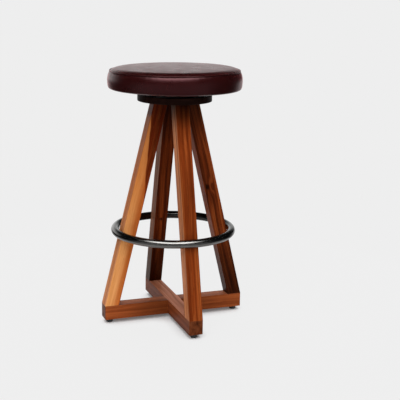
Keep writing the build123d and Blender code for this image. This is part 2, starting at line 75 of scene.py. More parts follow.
# Materials
class Nodes:
    """Small helper that adds linked shader nodes to a tree."""

    def __init__(self, tree):
        self.tree = tree
        self.tree.nodes.clear()

    def node(self, kind, inputs=None, **props):
        n = self.tree.nodes.new("ShaderNode" + kind)
        for key, value in props.items():
            setattr(n, key, value)
        for key, value in (inputs or {}).items():
            self.put(n.inputs[key], value)
        return n

    def put(self, socket, value):
        if isinstance(value, bpy.types.Node):
            value = value.outputs[0]
        if isinstance(value, bpy.types.NodeSocket):
            self.tree.links.new(value, socket)
        else:
            socket.default_value = value

    def coords(self):
        return self.node("TexCoord").outputs["Object"]

    def mapping(self, vector, location=(0, 0, 0), rotation=(0, 0, 0), scale=(1, 1, 1)):
        return self.node(
            "Mapping",
            {"Vector": vector, "Location": location, "Rotation": rotation, "Scale": scale},
        )

    def noise(self, vector, scale, detail=2.0, rough=0.5, output="Fac"):
        return self.node(
            "TexNoise",
            {"Vector": vector, "Scale": scale, "Detail": detail, "Roughness": rough},
        ).outputs[output]

    def math(self, operation, a, b=0.0, c=0.0):
        n = self.node("Math", operation=operation)
        self.put(n.inputs[0], a)
        self.put(n.inputs[1], b)
        self.put(n.inputs[2], c)
        return n.outputs[0]

    def vector(self, operation, a, b=None, c=None):
        """Gives a vector, or the number that LENGTH and DOT_PRODUCT come to."""
        n = self.node("VectorMath", operation=operation)
        for socket, value in zip(n.inputs, (a, b, c)):
            if value is not None:
                self.put(socket, value)
        is_number = operation in ("LENGTH", "DOT_PRODUCT")
        return n.outputs["Value" if is_number else "Vector"]

    def range(self, value, a, b, low=0.0, high=1.0, smooth=False):
        n = self.node("MapRange", {"Value": value, "From Min": a, "From Max": b, "To Min": low,
                                   "To Max": high})
        if smooth:
            n.interpolation_type = "SMOOTHSTEP"
        return n.outputs[0]

    def ramp(self, value, stops):
        n = self.node("ValToRGB", {"Fac": value})
        elements = n.color_ramp.elements
        while len(elements) < len(stops):
            elements.new(0.5)
        for element, (place, colour) in zip(elements, stops):
            element.position = place
            element.color = (*colour, 1)
        return n.outputs[0]

    def mix(self, fac, a, b, blend="MIX"):
        n = self.node("Mix", data_type="RGBA", blend_type=blend)
        self.put(n.inputs[0], fac)
        self.put(n.inputs[6], a if not isinstance(a, tuple) else (*a, 1))
        self.put(n.inputs[7], b if not isinstance(b, tuple) else (*b, 1))
        return n.outputs[2]

    def mix_numbers(self, fac, a, b):
        n = self.node("Mix", data_type="FLOAT")
        self.put(n.inputs[0], fac)
        self.put(n.inputs[2], a)
        self.put(n.inputs[3], b)
        return n.outputs[0]

    def mix_shaders(self, fac, a, b):
        n = self.node("MixShader")
        for socket, value in zip(n.inputs, (fac, a, b)):
            self.put(socket, value)
        return n

    def bump(self, height, strength, distance, normal=None):
        n = self.node("Bump", {"Height": height, "Strength": strength, "Distance": distance})
        if normal is not None:
            self.put(n.inputs["Normal"], normal)
        return n.outputs[0]


class Shader(Nodes):
    """Material with one principled surface."""

    def __init__(self, name):
        self.material = bpy.data.materials.new(name)
        self.material.use_nodes = True
        super().__init__(self.material.node_tree)
        self.out = self.node("OutputMaterial")
        self.bsdf = self.node("BsdfPrincipled")
        self.put(self.out.inputs[0], self.bsdf)

    def set(self, **values):
        for key, value in values.items():
            self.put(self.bsdf.inputs[key.replace("_", " ")], value)


def lin(r, g, b):
    """Screen colour, 0 to 255, as linear light."""

    def one(c):
        c /= 255
        return c / 12.92 if c <= 0.04045 else ((c + 0.055) / 1.055) ** 2.4

    return (one(r), one(g), one(b))


def shade(colour, share):
    """The colour, lighter or darker by a share."""
    return tuple(c * share for c in colour)


def grey(*values):
    """Evenly spaced brightness steps for a colour ramp."""
    last = len(values) - 1
    return [(i / last, (v, v, v)) for i, v in enumerate(values)]


def timber_ramp(s, tone, tones):
    """Colour of the wood at a tone between 0, dark, and 1, light."""
    light, middle, dark = tones
    return s.ramp(tone, [(0.0, dark), (0.42, middle), (0.85, light), (1.0, light)])


def walnut(name, rotation, tones, seed, streak=0.5, knots=(), painted_shade_along=None, zones=()):
    """Wood whose grain runs along local Z once the object space is turned by the rotation.

    painted_shade_along is painted shade at places along the grain; each zone is a mask with tones
    of its own.
    """
    s = Shader(name)
    rng = random.Random(seed)
    dark = tones[2]
    turned = s.mapping(s.coords(), rotation=rotation)
    shift = (rng.uniform(-3, 3), rng.uniform(-3, 3), rng.uniform(-3, 3))
    base = s.mapping(turned, location=shift)
    # Slow wander of the grain along its length
    wander = s.noise(s.mapping(base, scale=(7, 7, 2.6)), 1.0, output="Color")
    grain = s.vector("MULTIPLY_ADD", wander, (0.022, 0.022, 0.0), base)
    for place, size in knots:
        # Grain swirls round a knot: push the coordinate away from it
        offset = s.vector("SUBTRACT", turned, place)
        length = s.vector("LENGTH", s.mapping(offset, scale=(1, 1, 0.45)))
        near = s.range(length, 0.0, size * 3.2, 1.0, 0.0, smooth=True)
        push = s.node("VectorMath", {"Vector": offset, "Scale": s.math("MULTIPLY", near, 1.6)},
                      operation="SCALE")
        grain = s.vector("ADD", grain, push)
    # Growth rings round a pith that lies outside the board
    pith = (rng.uniform(0.05, 0.09), rng.uniform(-0.06, 0.06))
    centred = s.mapping(grain, location=(-shift[0] + pith[0], -shift[1] + pith[1], 0),
                        scale=(1, 1, 0.02))
    rings = s.math("MULTIPLY", s.vector("LENGTH", centred), rng.uniform(190, 250))
    swell = s.noise(s.mapping(grain, scale=(38, 38, 2.2)), 1.0, 3.0)
    rings = s.math("ADD", rings, s.math("MULTIPLY", swell, 5.0))
    line = s.range(s.math("FRACT", rings), 0.0, 0.8, smooth=True)
    # Broad colour streaks, fine fibre and short dark pores, all drawn out along the grain
    broad = s.noise(s.mapping(grain, scale=(80, 80, 1.5)), 1.0, 3.0, 0.6)
    fibre = s.noise(s.mapping(grain, scale=(420, 420, 9)), 1.0, 3.0, 0.6)
    pores = s.noise(s.mapping(grain, scale=(900, 900, 28)), 1.0, 1.0)
    presence = s.noise(s.mapping(grain, location=(7, 1, 3), scale=(30, 30, 2)), 1.0)
    presence = s.range(presence, 0.35, 0.65)
    tone = s.range(broad, 0.30, 0.70)
    tone = s.math("ADD", s.math("MULTIPLY", tone, 0.60), s.math("MULTIPLY", fibre, 0.34))
    ring_tone = s.math("MULTIPLY", s.math("MULTIPLY", line, presence), 0.26 * (0.3 + streak))
    tone = s.math("ADD", tone, ring_tone)
    tone = s.range(tone, 0.14, 0.90 + 0.1 * streak)
    colour = timber_ramp(s, tone, tones)
    # Parts of the piece that have tones of their own, with slightly uneven edges; some tones are
    # painted light and some painted shade on one face
    parts = s.node("SeparateXYZ", {"Vector": turned})
    uneven = s.noise(s.mapping(turned, location=shift, scale=(40, 40, 9)), 1.0, 3.0)
    wobble = s.math("SUBTRACT", uneven, 0.5)
    for mask, zone_tones in zones:
        colour = s.mix(mask(s, parts, wobble), colour, timber_ramp(s, tone, zone_tones))
    # Dark streaks and a finer figure between them
    streaks = s.noise(s.mapping(grain, location=(4, 2, 0), scale=(125, 125, 1.1)), 1.0, 4.0, 0.6)
    streaks = s.range(streaks, 0.53, 0.70, smooth=True)
    colour = s.mix(s.math("MULTIPLY", streaks, streak), colour, dark)
    figure = s.noise(s.mapping(grain, location=(1, 5, 0), scale=(210, 210, 1.6)), 1.0)
    figure = s.range(figure, 0.52, 0.62, 0.0, 0.75, smooth=True)
    colour = s.mix(s.math("MULTIPLY", figure, streak), colour, dark)
    # Painted shade along the grain
    if painted_shade_along is not None:
        start, end, stops = painted_shade_along
        place = s.math("ADD", parts.outputs["Z"], s.math("MULTIPLY", wobble, 0.05))
        colour = s.mix(1.0, colour, s.ramp(s.range(place, start, end), stops), "MULTIPLY")
    for place, size in knots:
        offset = s.vector("SUBTRACT", turned, place)
        length = s.vector("LENGTH", s.mapping(offset, scale=(1, 1, 0.6)))
        rim = s.noise(s.mapping(turned, scale=(90, 90, 90)), 1.0)
        edge = s.math("ADD", length, s.math("MULTIPLY", rim, size * 0.5))
        spot = s.range(edge, size * 0.6, size * 1.5, 0.9, 0.0, smooth=True)
        colour = s.mix(spot, colour, shade(dark, 0.2))
    pore = s.range(pores, 0.66, 0.76)
    colour = s.mix(s.math("MULTIPLY", pore, 0.55), colour, shade(dark, 0.35))
    rough = s.range(fibre, 0.3, 0.7, 0.34, 0.46)
    normal = s.bump(s.math("SUBTRACT", fibre, s.math("MULTIPLY", pore, 0.8)), 0.25, 0.0006)
    s.set(Base_Color=colour, Roughness=rough, Normal=normal)
    s.set(IOR=1.5, Specular_IOR_Level=0.05, Specular_Tint=(1.0, 0.64, 0.5, 1.0))
    return s.material


def leather(name, colour, deep):
    """Smooth, finely pebbled leather that clouds between two colours."""
    s = Shader(name)
    at = s.coords()
    pebble = s.node("TexVoronoi", {"Vector": at, "Scale": 620.0, "Randomness": 0.9},
                    feature="SMOOTH_F1")
    s.put(pebble.inputs["Smoothness"], 0.35)
    fine = s.noise(at, 1500.0)
    soft = s.noise(at, 26.0, 3.0, 0.55)
    cloud = s.noise(at, 9.0)
    base = s.mix(s.range(cloud, 0.3, 0.7), deep, colour)
    cells = s.range(pebble.outputs["Distance"], 0.0, 0.75)
    creases = s.math("MULTIPLY", s.range(cells, 0.2, 0.8), 0.12)
    base = s.mix(creases, base, shade(deep, 0.5))
    height = s.math("ADD", s.math("MULTIPLY", cells, -0.6), s.math("MULTIPLY", fine, 0.15))
    normal = s.bump(height, 0.2, 0.0002)
    normal = s.bump(soft, 0.07, 0.0010, normal)
    rough = s.range(soft, 0.3, 0.7, 0.26, 0.34)
    s.set(Base_Color=base, Roughness=rough, Normal=normal)
    # The finish reflects reddish light where it is seen straight on, and paler light at a slant
    slant = s.node("LayerWeight", {"Blend": 0.5}).outputs["Facing"]
    tint = s.ramp(slant, [(0.0, (1.0, 0.46, 0.5)), (0.35, (1.0, 0.62, 0.65)),
                          (0.78, (1.0, 0.85, 0.85)), (1.0, (1.0, 0.95, 0.95))])
    s.set(IOR=1.5, Specular_IOR_Level=0.4, Specular_Tint=tint)
    s.set(Sheen_Weight=0.26, Sheen_Roughness=0.27, Sheen_Tint=(1.0, 0.22, 0.24, 1.0))
    return s.material


def steel(name, colour, rough, metallic=1.0, coat=0.0, inside=None):
    """Slightly mottled metal; inside gives two distances from the axis and the darker share of a
    painted shade towards the axis.
    """
    s = Shader(name)
    at = s.coords()
    smear = s.noise(s.mapping(at, scale=(14, 14, 14)), 1.0, 4.0, 0.6)
    fine = s.noise(s.mapping(at, scale=(260, 260, 900)), 1.0, 2.0, 0.6)
    paler = tuple(min(1, c * 1.18) for c in colour)
    mottled = s.mix(s.range(smear, 0.3, 0.7), shade(colour, 0.72), paler)
    if inside:
        # Painted shade: darker metal towards the axis
        near, far, share = inside
        reach = s.vector("LENGTH", s.mapping(at, scale=(1, 1, 0)))
        inner_painted_shade = s.range(reach, near, far, share, 1.0, smooth=True)
        mottled = s.mix(1.0, mottled, inner_painted_shade, "MULTIPLY")
    scratched = s.math("ADD", smear, s.math("MULTIPLY", fine, 0.15))
    s.set(
        Base_Color=mottled,
        Roughness=s.range(scratched, 0.3, 0.85, rough * 0.8, rough * 1.25),
        Normal=s.bump(fine, 0.06, 0.0002),
        Metallic=metallic,
    )
    if coat:
        s.set(Coat_Weight=coat, Coat_Roughness=0.2)
    return s.material


def plastic(name, colour, rough):
    """Moulded nylon, scuffed paler in places."""
    s = Shader(name)
    grain = s.noise(s.coords(), 900.0)
    scuffs = s.noise(s.coords(), 60.0, 4.0, 0.65)
    scuffed = tuple(c * 1.7 + 0.01 for c in colour)
    s.set(
        Base_Color=s.mix(s.range(scuffs, 0.5, 0.8), colour, scuffed),
        Roughness=s.range(scuffs, 0.3, 0.7, rough * 0.9, rough * 1.15),
        Normal=s.bump(grain, 0.15, 0.0002),
        IOR=1.5,
    )
    return s.material


def stained_wood(name, colour, rough):
    """Dark stain over wood whose grain runs along X."""
    s = Shader(name)
    at = s.coords()
    grain = s.noise(s.mapping(at, scale=(5, 150, 150)), 1.0, 3.0, 0.6)
    cloud = s.noise(at, 12.0)
    s.set(
        Base_Color=s.mix(s.range(grain, 0.35, 0.65), shade(colour, 0.6), shade(colour, 1.5)),
        Roughness=s.range(cloud, 0.3, 0.7, rough * 0.9, rough * 1.1),
        Normal=s.bump(grain, 0.12, 0.0004),
        IOR=1.5,
        Specular_IOR_Level=0.08,
        Specular_Tint=(1.0, 0.55, 0.45, 1.0),
    )
    return s.material


def plain_ply(name, colour):
    """Bare wood with faint layers one above the other."""
    s = Shader(name)
    at = s.coords()
    grain = s.noise(s.mapping(at, scale=(6, 90, 90)), 1.0, 3.0, 0.6)
    layers = s.node("TexWave", {"Vector": at, "Scale": 110.0, "Distortion": 0.3},
                    bands_direction="Z")
    base = s.mix(s.range(grain, 0.3, 0.7), shade(colour, 0.75), colour)
    base = s.mix(s.math("MULTIPLY", layers.outputs["Fac"], 0.25), base, shade(colour, 0.55))
    s.set(Base_Color=base, Roughness=0.7, Normal=s.bump(grain, 0.2, 0.0004))
    return s.material


def woven(name, colour, pitch):
    """Plain weave whose threads lie the pitch apart."""
    s = Shader(name)
    at = s.coords()
    parts = s.node("SeparateXYZ", {"Vector": at})
    waves = []
    for axis in ("X", "Y"):
        turns = s.math("MULTIPLY", parts.outputs[axis], math.pi / pitch)
        waves.append(s.math("SINE", turns))
    weave = s.math("MULTIPLY", waves[0], waves[1])
    weave = s.range(weave, -1.0, 1.0)
    fluff = s.noise(at, 500.0, 3.0)
    base = s.mix(s.math("MULTIPLY", weave, 0.6), shade(colour, 0.5), colour)
    base = s.mix(s.math("MULTIPLY", fluff, 0.3), base, shade(colour, 1.8))
    s.set(Base_Color=base, Roughness=0.9, Normal=s.bump(weave, 0.5, 0.0003))
    s.set(Sheen_Weight=0.2, Sheen_Roughness=0.5)
    return s.material


def dress(node, material):
    """Gives a CAD node its material."""
    ob = nodes[node]
    ob.data.materials.clear()
    ob.data.materials.append(material)


def grain_turn(heading, lean):
    """Turn of object space that lays a leg's or rail's length along Z.

    The piece at the heading is first turned back to +X, then stood up.
    """
    turn = Matrix.Rotation(lean, 3, "Y") @ Matrix.Rotation(-math.radians(heading), 3, "Z")
    return tuple(turn.to_euler("XYZ"))


# Masks for parts of a timber. Each measures the turned space in metres and fades over a short way.
def heartwood(s, parts, wobble):
    """Dark heartwood that spreads over the top of the left leg from its inner edge."""
    slope = 0.16
    edge = s.math("MULTIPLY_ADD", parts.outputs["Z"], slope, 0.1955 - 0.40 * slope)
    edge = s.math("ADD", edge, s.math("MULTIPLY", wobble, 0.014))
    return s.range(s.math("SUBTRACT", edge, parts.outputs["X"]), -0.0008, 0.0022, smooth=True)


def painted_shade_outer_face(s, parts, wobble):
    """The leg's outer face and the edge beside it, painted darker as painted shade."""
    return s.range(parts.outputs["X"], 0.2241, 0.2249, smooth=True)


def inner_side(s, parts, wobble):
    """Redder wood towards the leg's inner edge."""
    place = s.math("ADD", parts.outputs["X"], s.math("MULTIPLY", wobble, 0.02))
    return s.range(place, 0.186, 0.218, 1.0, 0.0, smooth=True)


def painted_light_side(sign):
    """The narrow side of a leg that looks to the left in the photograph."""

    # Its tones are painted light: a paler, greyer sheen on this face
    def mask(s, parts, wobble):
        place = s.math("MULTIPLY", parts.outputs["Y"], float(sign))
        return s.range(place, 0.0199, 0.0206)

    return mask


def painted_light_inner_face(s, parts, wobble):
    """The leg's face towards the axis, painted lighter as painted light."""
    return s.range(parts.outputs["X"], 0.1838, 0.1848, 1.0, 0.0)


def end_grain(s, parts, wobble):
    """The rail's sawn ends, seen across the grain."""
    return s.range(s.math("ABSOLUTE", parts.outputs["Z"]), 0.2168, 0.2178, 0.0, 0.9)


def painted_sheen_top(s, parts, wobble):
    """The rail's upper face, painted paler as a painted sheen."""
    return s.range(parts.outputs["X"], -0.0553, -0.0546, 1.0, 0.0)


def beyond(axis, sign):
    """Everything more than 50 mm to one side of the axis."""

    def mask(s, parts, wobble):
        place = s.math("MULTIPLY", parts.outputs[axis], float(sign))
        return s.range(place, 0.05, 0.06)

    return mask


# Tones are light, middle and dark. The painted shade along the grain runs over LEG_SPAN or
# RAIL_SPAN.
LEG_SPAN = (0.0, 0.63)
RAIL_SPAN = (-RAIL_REACH, RAIL_REACH)
# Each leg's painted_shade_along is painted shade along its length, dark under the seat at the top
legs = {
    "left": dict(
        tones=(lin(232, 166, 104), lin(220, 150, 88), lin(198, 122, 62)), streak=0.12,
        # The darker, redder top is partly painted shade of the seat and partly the wood's own tone
        painted_shade_along=(*LEG_SPAN, [(0.0, (1.0, 1.0, 1.0)), (0.3, (0.92, 0.93, 0.92)),
                           (0.6, (0.78, 0.65, 0.51)), (1.0, (0.5, 0.36, 0.26))]),
        # The outer face's darker tones are painted shade
        zones=[(painted_shade_outer_face, (lin(200, 134, 88), lin(174, 108, 66), lin(138, 80, 46))),
               (inner_side, (lin(194, 108, 50), lin(170, 86, 34), lin(130, 56, 18))),
               (heartwood, (lin(128, 54, 20), lin(98, 34, 8), lin(50, 14, 2)))]),
    "front": dict(
        tones=(lin(172, 91, 42), lin(133, 56, 19), lin(70, 23, 5)), streak=0.45,
        painted_shade_along=(*LEG_SPAN, grey(0.85, 0.85, 0.85, 0.85, 0.86, 0.86, 0.86, 0.84, 0.8, 0.78, 0.76,
                               0.76, 0.82, 0.9, 1.0, 1.0, 0.85, 0.35, 0.06)),
        # The left-looking side's paler tones are painted light
        zones=[(painted_light_side(-1), (lin(214, 144, 98), lin(190, 116, 72), lin(136, 74, 40)))]),
    "right": dict(
        tones=(lin(150, 74, 33), lin(104, 41, 13), lin(42, 11, 1)), streak=0.6,
        knots=[((0.1935, -0.0208, 0.3672), 0.007)],
        # The inner face's paler tones are painted light
        zones=[(painted_light_inner_face, (lin(168, 88, 46), lin(136, 62, 30), lin(88, 34, 12)))],
        painted_shade_along=(*LEG_SPAN, grey(0.2, 0.27, 0.4, 0.8, 0.92, 0.85, 1.0, 1.0, 0.6, 0.25))),
    "back": dict(
        tones=(lin(166, 74, 26), lin(112, 40, 6), lin(48, 10, 0)), streak=0.55,
        # The left-looking side's paler tones are painted light
        zones=[(painted_light_side(1), (lin(206, 146, 116), lin(182, 120, 92), lin(132, 78, 54)))],
        painted_shade_along=(*LEG_SPAN, grey(0.1, 0.16, 0.28, 0.46, 0.52, 0.46, 0.48, 0.6, 0.32, 0.14))),
}
for seed, (side, heading) in enumerate(HEADINGS.items()):
    wood = walnut(f"wood_leg_{side}", grain_turn(heading, LEAN), seed=11 + seed, **legs[side])
    dress(f"leg_{side}", wood)
# Each rail's painted_shade_along is painted shade along its length
rails = {
    "left_right": dict(
        rotation=grain_turn(0, -math.pi / 2), seed=31, streak=0.22,
        tones=(lin(172, 90, 46), lin(146, 72, 35), lin(108, 48, 19)),
        knots=[((-0.0555, -0.0225, 0.0233), 0.0014)],
        # The upper faces' paler tones are a painted sheen
        zones=[(painted_sheen_top, (lin(206, 132, 98), lin(166, 96, 66), lin(104, 54, 32))),
               (end_grain, (lin(92, 54, 36), lin(68, 34, 20), lin(38, 15, 7)))],
        painted_shade_along=(*RAIL_SPAN, grey(1.0, 0.85, 0.58, 0.46, 0.55, 0.78, 0.83, 0.85))),
    "front_back": dict(
        rotation=grain_turn(90, -math.pi / 2), seed=37, streak=0.22,
        tones=(lin(130, 68, 38), lin(106, 50, 24), lin(74, 31, 12)),
        zones=[(painted_sheen_top, (lin(196, 132, 104), lin(158, 98, 72), lin(98, 54, 34))),
               (end_grain, (lin(124, 68, 40), lin(100, 50, 26), lin(52, 23, 9)))],
        painted_shade_along=(*RAIL_SPAN, grey(0.8, 1.0, 1.1, 1.0, 1.0, 1.0))),
}
for side, wood in rails.items():
    dress(f"rail_{side}", walnut(f"wood_rail_{side}", **wood))

# The plugs take the tone of the leg that each stands in; the back plug's tones include that leg's
# painted shade
plug_zones = [(beyond("X", -1), legs["front"]["tones"]),
              (beyond("Y", 1), (lin(190, 98, 38), lin(166, 78, 24), lin(128, 52, 14))),
              (beyond("Y", -1), legs["right"]["tones"])]
plug_wood = walnut("plug_wood", grain_turn(HEADINGS["back"], LEAN), seed=14, zones=plug_zones,
                   tones=(lin(118, 52, 18), lin(78, 28, 5), lin(34, 8, 0)), streak=0.5)
dress("ring_plugs", plug_wood)
dress("foot_dowels", plain_ply("beech", lin(200, 165, 120)))
dress("seat_board", plain_ply("plywood", lin(190, 160, 118)))
dress("mounting_disc", stained_wood("black_stain", lin(26, 11, 8), 0.5))

zinc = steel("zinc", lin(170, 170, 166), 0.35)
for name in ("lap_screw", "glide_screws", "disc_screws", "swivel_bottom_screws",
             "swivel_top_screws"):
    dress(name, zinc)
dress("ring_screws", steel("black_screw", lin(48, 40, 36), 0.45, metallic=0.6))
bright = steel("bright_steel", lin(190, 190, 190), 0.18)
for name in ("swivel_balls", "pivot_rivet", "pivot_washer", "cover_staples"):
    dress(name, bright)
black_paint = steel("black_paint", lin(26, 25, 25), 0.4, metallic=0.0, coat=0.3)
for name in ("swivel_bottom_plate", "swivel_top_plate"):
    dress(name, black_paint)
ring_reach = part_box("foot_ring")[1][0] - RING_TUBE
# The ring's inner side is darkened with painted shade
dress("foot_ring", steel("gunmetal", lin(103, 102, 100), 0.2,
                         inside=(ring_reach - 0.0025, ring_reach + 0.0035, 0.35)))

nylon = plastic("black_nylon", lin(22, 21, 21), 0.45)
for side in HEADINGS:
    dress(f"glide_{side}", nylon)
dress("ball_cage", plastic("cage_nylon", lin(70, 70, 66), 0.5))

oxblood = leather("oxblood_leather", lin(38, 6, 6), lin(32, 4, 4))
piping = leather("oxblood_piping", lin(40, 8, 8), lin(32, 5, 5))


# Cushion
def mesh_object(name, bm):
    """Smooth object of the scene, made from the bmesh."""
    mesh = bpy.data.meshes.new(name)
    bm.to_mesh(mesh)
    bm.free()
    for p in mesh.polygons:
        p.use_smooth = True
    ob = bpy.data.objects.new(name, mesh)
    bpy.context.scene.collection.objects.link(ob)
    return ob


def arc_points(start, end, tangent, count):
    """Points on the circular arc that leaves start along the tangent and ends at end.

    The tangent at the end comes with them. The end doesn't lie straight ahead of the start.
    """
    start, end, tangent = Vector(start), Vector(end), Vector(tangent).normalized()
    chord = end - start
    normal = Vector((-tangent.y, tangent.x))
    radius = chord.length_squared / (2 * chord.dot(normal))
    centre = start + normal * radius
    a0 = math.atan2(start.y - centre.y, start.x - centre.x)
    a1 = math.atan2(end.y - centre.y, end.x - centre.x)
    turn = a1 - a0
    if radius > 0:
        turn %= 2 * math.pi
    else:
        turn = -((-turn) % (2 * math.pi))
    points = [
        centre + Vector((math.cos(a0 + turn * i / count), math.sin(a0 + turn * i / count)))
        * abs(radius)
        for i in range(count + 1)
    ]
    c, sn = math.cos(turn), math.sin(turn)
    last = Vector((tangent.x * c - tangent.y * sn, tangent.x * sn + tangent.y * c))
    return points, last


def cushion_outline():
    """Half outline from the crown's middle, over the seam and round under the board."""
    crown_edge = (SEAT_RADIUS - SHOULDER_INSET, CROWN_TOP - CROWN_DROP)
    seam = (SEAM_RADIUS, SEAM_HEIGHT)
    widest = (SEAT_RADIUS, CROWN_TOP - WIDEST_DROP)
    hem = (SEAT_RADIUS - HEM_INSET, UNDER + HEM_RISE)
    crown, t = arc_points((0, CROWN_TOP), crown_edge, (1, 0), 20)
    shoulder, _ = arc_points(crown[-1], seam, t, 10)
    side, _ = arc_points(widest, seam, (0, 1), 12)
    lower, t = arc_points(widest, hem, (0, -1), 8)
    corner, _ = arc_points(lower[-1], (SEAT_RADIUS - UNDER_INSET, UNDER), t, 5)
    inside = [Vector((TURN_RADIUS, UNDER)), Vector((TURN_RADIUS - 0.002, BOARD_BOTTOM)),
              Vector((0, BOARD_BOTTOM))]
    return crown[:-1] + shoulder[:-1] + side[::-1][:-1] + lower[:-1] + corner + inside


def padding(x, y, z):
    """Rise of the seat's upper part, whose padding is a little fuller to the camera's right."""
    firm = 0.01                        # height over the underside that doesn't rise
    share = max(0.0, min(1.0, (z - UNDER - firm) / (SEAM_HEIGHT - UNDER - firm)))
    return FULLER * (x * math.cos(YAW) - y * math.sin(YAW)) * share


def lathe(name, outline, steps=128):
    """Mesh turned about Z from points (radius, height); closed where the radius is zero."""
    bm = bmesh.new()
    rows = []
    for x, z in outline:
        if x < 1e-7:
            rows.append([bm.verts.new((0, 0, z))])
        else:
            rows.append([
                bm.verts.new((x * math.cos(2 * math.pi * i / steps),
                              x * math.sin(2 * math.pi * i / steps), z))
                for i in range(steps)
            ])
    for a, b in zip(rows, rows[1:]):
        for i in range(steps):
            j = (i + 1) % steps
            if len(a) == 1:
                bm.faces.new((a[0], b[i], b[j]))
            elif len(b) == 1:
                bm.faces.new((a[i], b[0], a[j]))
            else:
                bm.faces.new((a[i], b[i], b[j], a[j]))
    bmesh.ops.recalc_face_normals(bm, faces=bm.faces)
    return mesh_object(name, bm)


def apply_all(ob):
    """Bakes an object's modifiers into its mesh."""
    dg = bpy.context.evaluated_depsgraph_get()
    mesh = bpy.data.meshes.new_from_object(ob.evaluated_get(dg))
    ob.modifiers.clear()
    ob.data = mesh


def seam_distance(co):
    return math.hypot(math.hypot(co.x, co.y) - SEAM_RADIUS, co.z - SEAM_HEIGHT)


def simulate_cushion(ob):
    """Puffs a voxel copy of the cushion up with cloth, and moves the cushion as the copy moved."""
    frames = 20
    pinned_under = UNDER + 0.008
    pinned_seam = 0.006                # distance from the seam
    most = 0.006                       # longest move that a point may make
    blur, neighbours = 0.009, 30       # reach and number of points that a move is averaged over
    copy = bpy.data.objects.new("cushion_cloth", ob.data.copy())
    scene = bpy.context.scene
    scene.collection.objects.link(copy)
    remesh = copy.modifiers.new("remesh", "REMESH")
    remesh.mode = "VOXEL"
    remesh.voxel_size = 0.005
    apply_all(copy)
    start = [v.co.copy() for v in copy.data.vertices]
    held = [i for i, co in enumerate(start)
            if co.z < pinned_under or seam_distance(co) < pinned_seam]
    pins = copy.vertex_groups.new(name="pins")
    pins.add(held, 1.0, "REPLACE")
    cloth = copy.modifiers.new("cloth", "CLOTH")
    c = cloth.settings
    c.quality = 6
    c.mass = 0.3
    c.tension_stiffness = 40
    c.compression_stiffness = 40
    c.shear_stiffness = 12
    c.bending_stiffness = 6
    c.use_pressure = True
    c.uniform_pressure_force = 4
    c.vertex_group_mass = "pins"
    c.effector_weights.gravity = 0
    cloth.point_cache.frame_start = 1
    cloth.point_cache.frame_end = frames
    for f in range(1, frames + 1):
        scene.frame_set(f)
    apply_all(copy)
    scene.frame_set(1)
    moves = []
    for v, old in zip(copy.data.vertices, start):
        move = v.co - old
        moves.append(move * min(1.0, most / max(move.length, 1e-9)))
    places = kdtree.KDTree(len(start))
    for i, co in enumerate(start):
        places.insert(co, i)
    places.balance()
    for v in ob.data.vertices:
        near = [(math.exp(-((d / blur) ** 2)), moves[i])
                for _, i, d in places.find_n(v.co, neighbours)]
        total = sum(w for w, _ in near)
        v.co += sum((m * w for w, m in near), Vector()) * (PUFF / total)
    bpy.data.objects.remove(copy)


cushion = lathe("cushion", [(p.x, p.y) for p in cushion_outline()])
simulate_cushion(cushion)
sub = cushion.modifiers.new("sub", "SUBSURF")
sub.levels = sub.render_levels = 1
apply_all(cushion)

# Sewn seam: the leather dips beside the welt and gathers a little along it
DIP, DIP_WIDTH = 0.0011, 0.0034
GATHER, GATHER_WIDTH = 0.00022, 0.012
SLACK = 0.0007                     # full on the band, a fifth of it on the top
SEAM_OUT, SEAM_UP = 0.743, 0.669   # direction square to the leather at the seam
FLAT_HEIGHT = UNDER + 0.0028       # below it the underside is flat, within the radius
FLAT_RADIUS = SEAT_RADIUS - 0.0085
for v in cushion.data.vertices:
    reach = math.hypot(v.co.x, v.co.y)
    if reach < 1e-6:
        continue
    angle = math.atan2(v.co.y, v.co.x)
    out = Vector((v.co.x / reach, v.co.y / reach, 0))
    lean_out = Vector((out.x * SEAM_OUT, out.y * SEAM_OUT, SEAM_UP))
    d = seam_distance(v.co)
    dip = DIP * math.exp(-((d / DIP_WIDTH) ** 2))
    gather = GATHER * math.exp(-((d / GATHER_WIDTH) ** 2)) * (
        math.sin(angle * 64) + 0.6 * math.sin(angle * 97 + 1.3)
    )
    slack = SLACK * noise.noise(Vector((v.co.x * 11, v.co.y * 11, v.co.z * 16 + 4)))
    v.co += lean_out * (gather - dip) + out * slack * (1 if v.co.z < SEAM_HEIGHT else 0.2)
    v.co.z += padding(*v.co)
    if v.co.z < FLAT_HEIGHT and reach < FLAT_RADIUS:
        v.co.z = UNDER if reach > TURN_RADIUS else BOARD_BOTTOM + 0.0001
cushion.data.materials.append(oxblood)
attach(cushion, "seat")
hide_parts("seat_foam", "seat_cover_top", "seat_cover_band")


def welt_ring(name, steps=720, sides=14, radius=0.0019):
    """Round piping along the seam, drawn in slightly at each stitch."""
    bm = bmesh.new()
    rings = []
    for i in range(steps):
        a = 2 * math.pi * i / steps
        puff = 1 + 0.05 * math.cos(a * STITCHES)
        sway = 0.0002 * math.sin(a * 5 + 0.7) + 0.00015 * math.sin(a * 13)
        out = Vector((math.cos(a), math.sin(a), 0))
        middle = out * (SEAM_RADIUS - 0.0002) + Vector((0, 0, SEAM_HEIGHT - 0.0002 + sway))
        middle.z += padding(*middle)
        row = []
        for k in range(sides):
            t = 2 * math.pi * k / sides
            row.append(bm.verts.new(
                middle + (out * math.cos(t) + Vector((0, 0, math.sin(t)))) * radius * puff))
        rings.append(row)
    for i in range(steps):
        a, b = rings[i], rings[(i + 1) % steps]
        for k in range(sides):
            bm.faces.new((a[k], a[(k + 1) % sides], b[(k + 1) % sides], b[k]))
    bmesh.ops.recalc_face_normals(bm, faces=bm.faces)
    return mesh_object(name, bm)


welt = welt_ring("seat_piping")
welt.data.materials.append(piping)
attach(welt, "seat")
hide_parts("seat_welt")


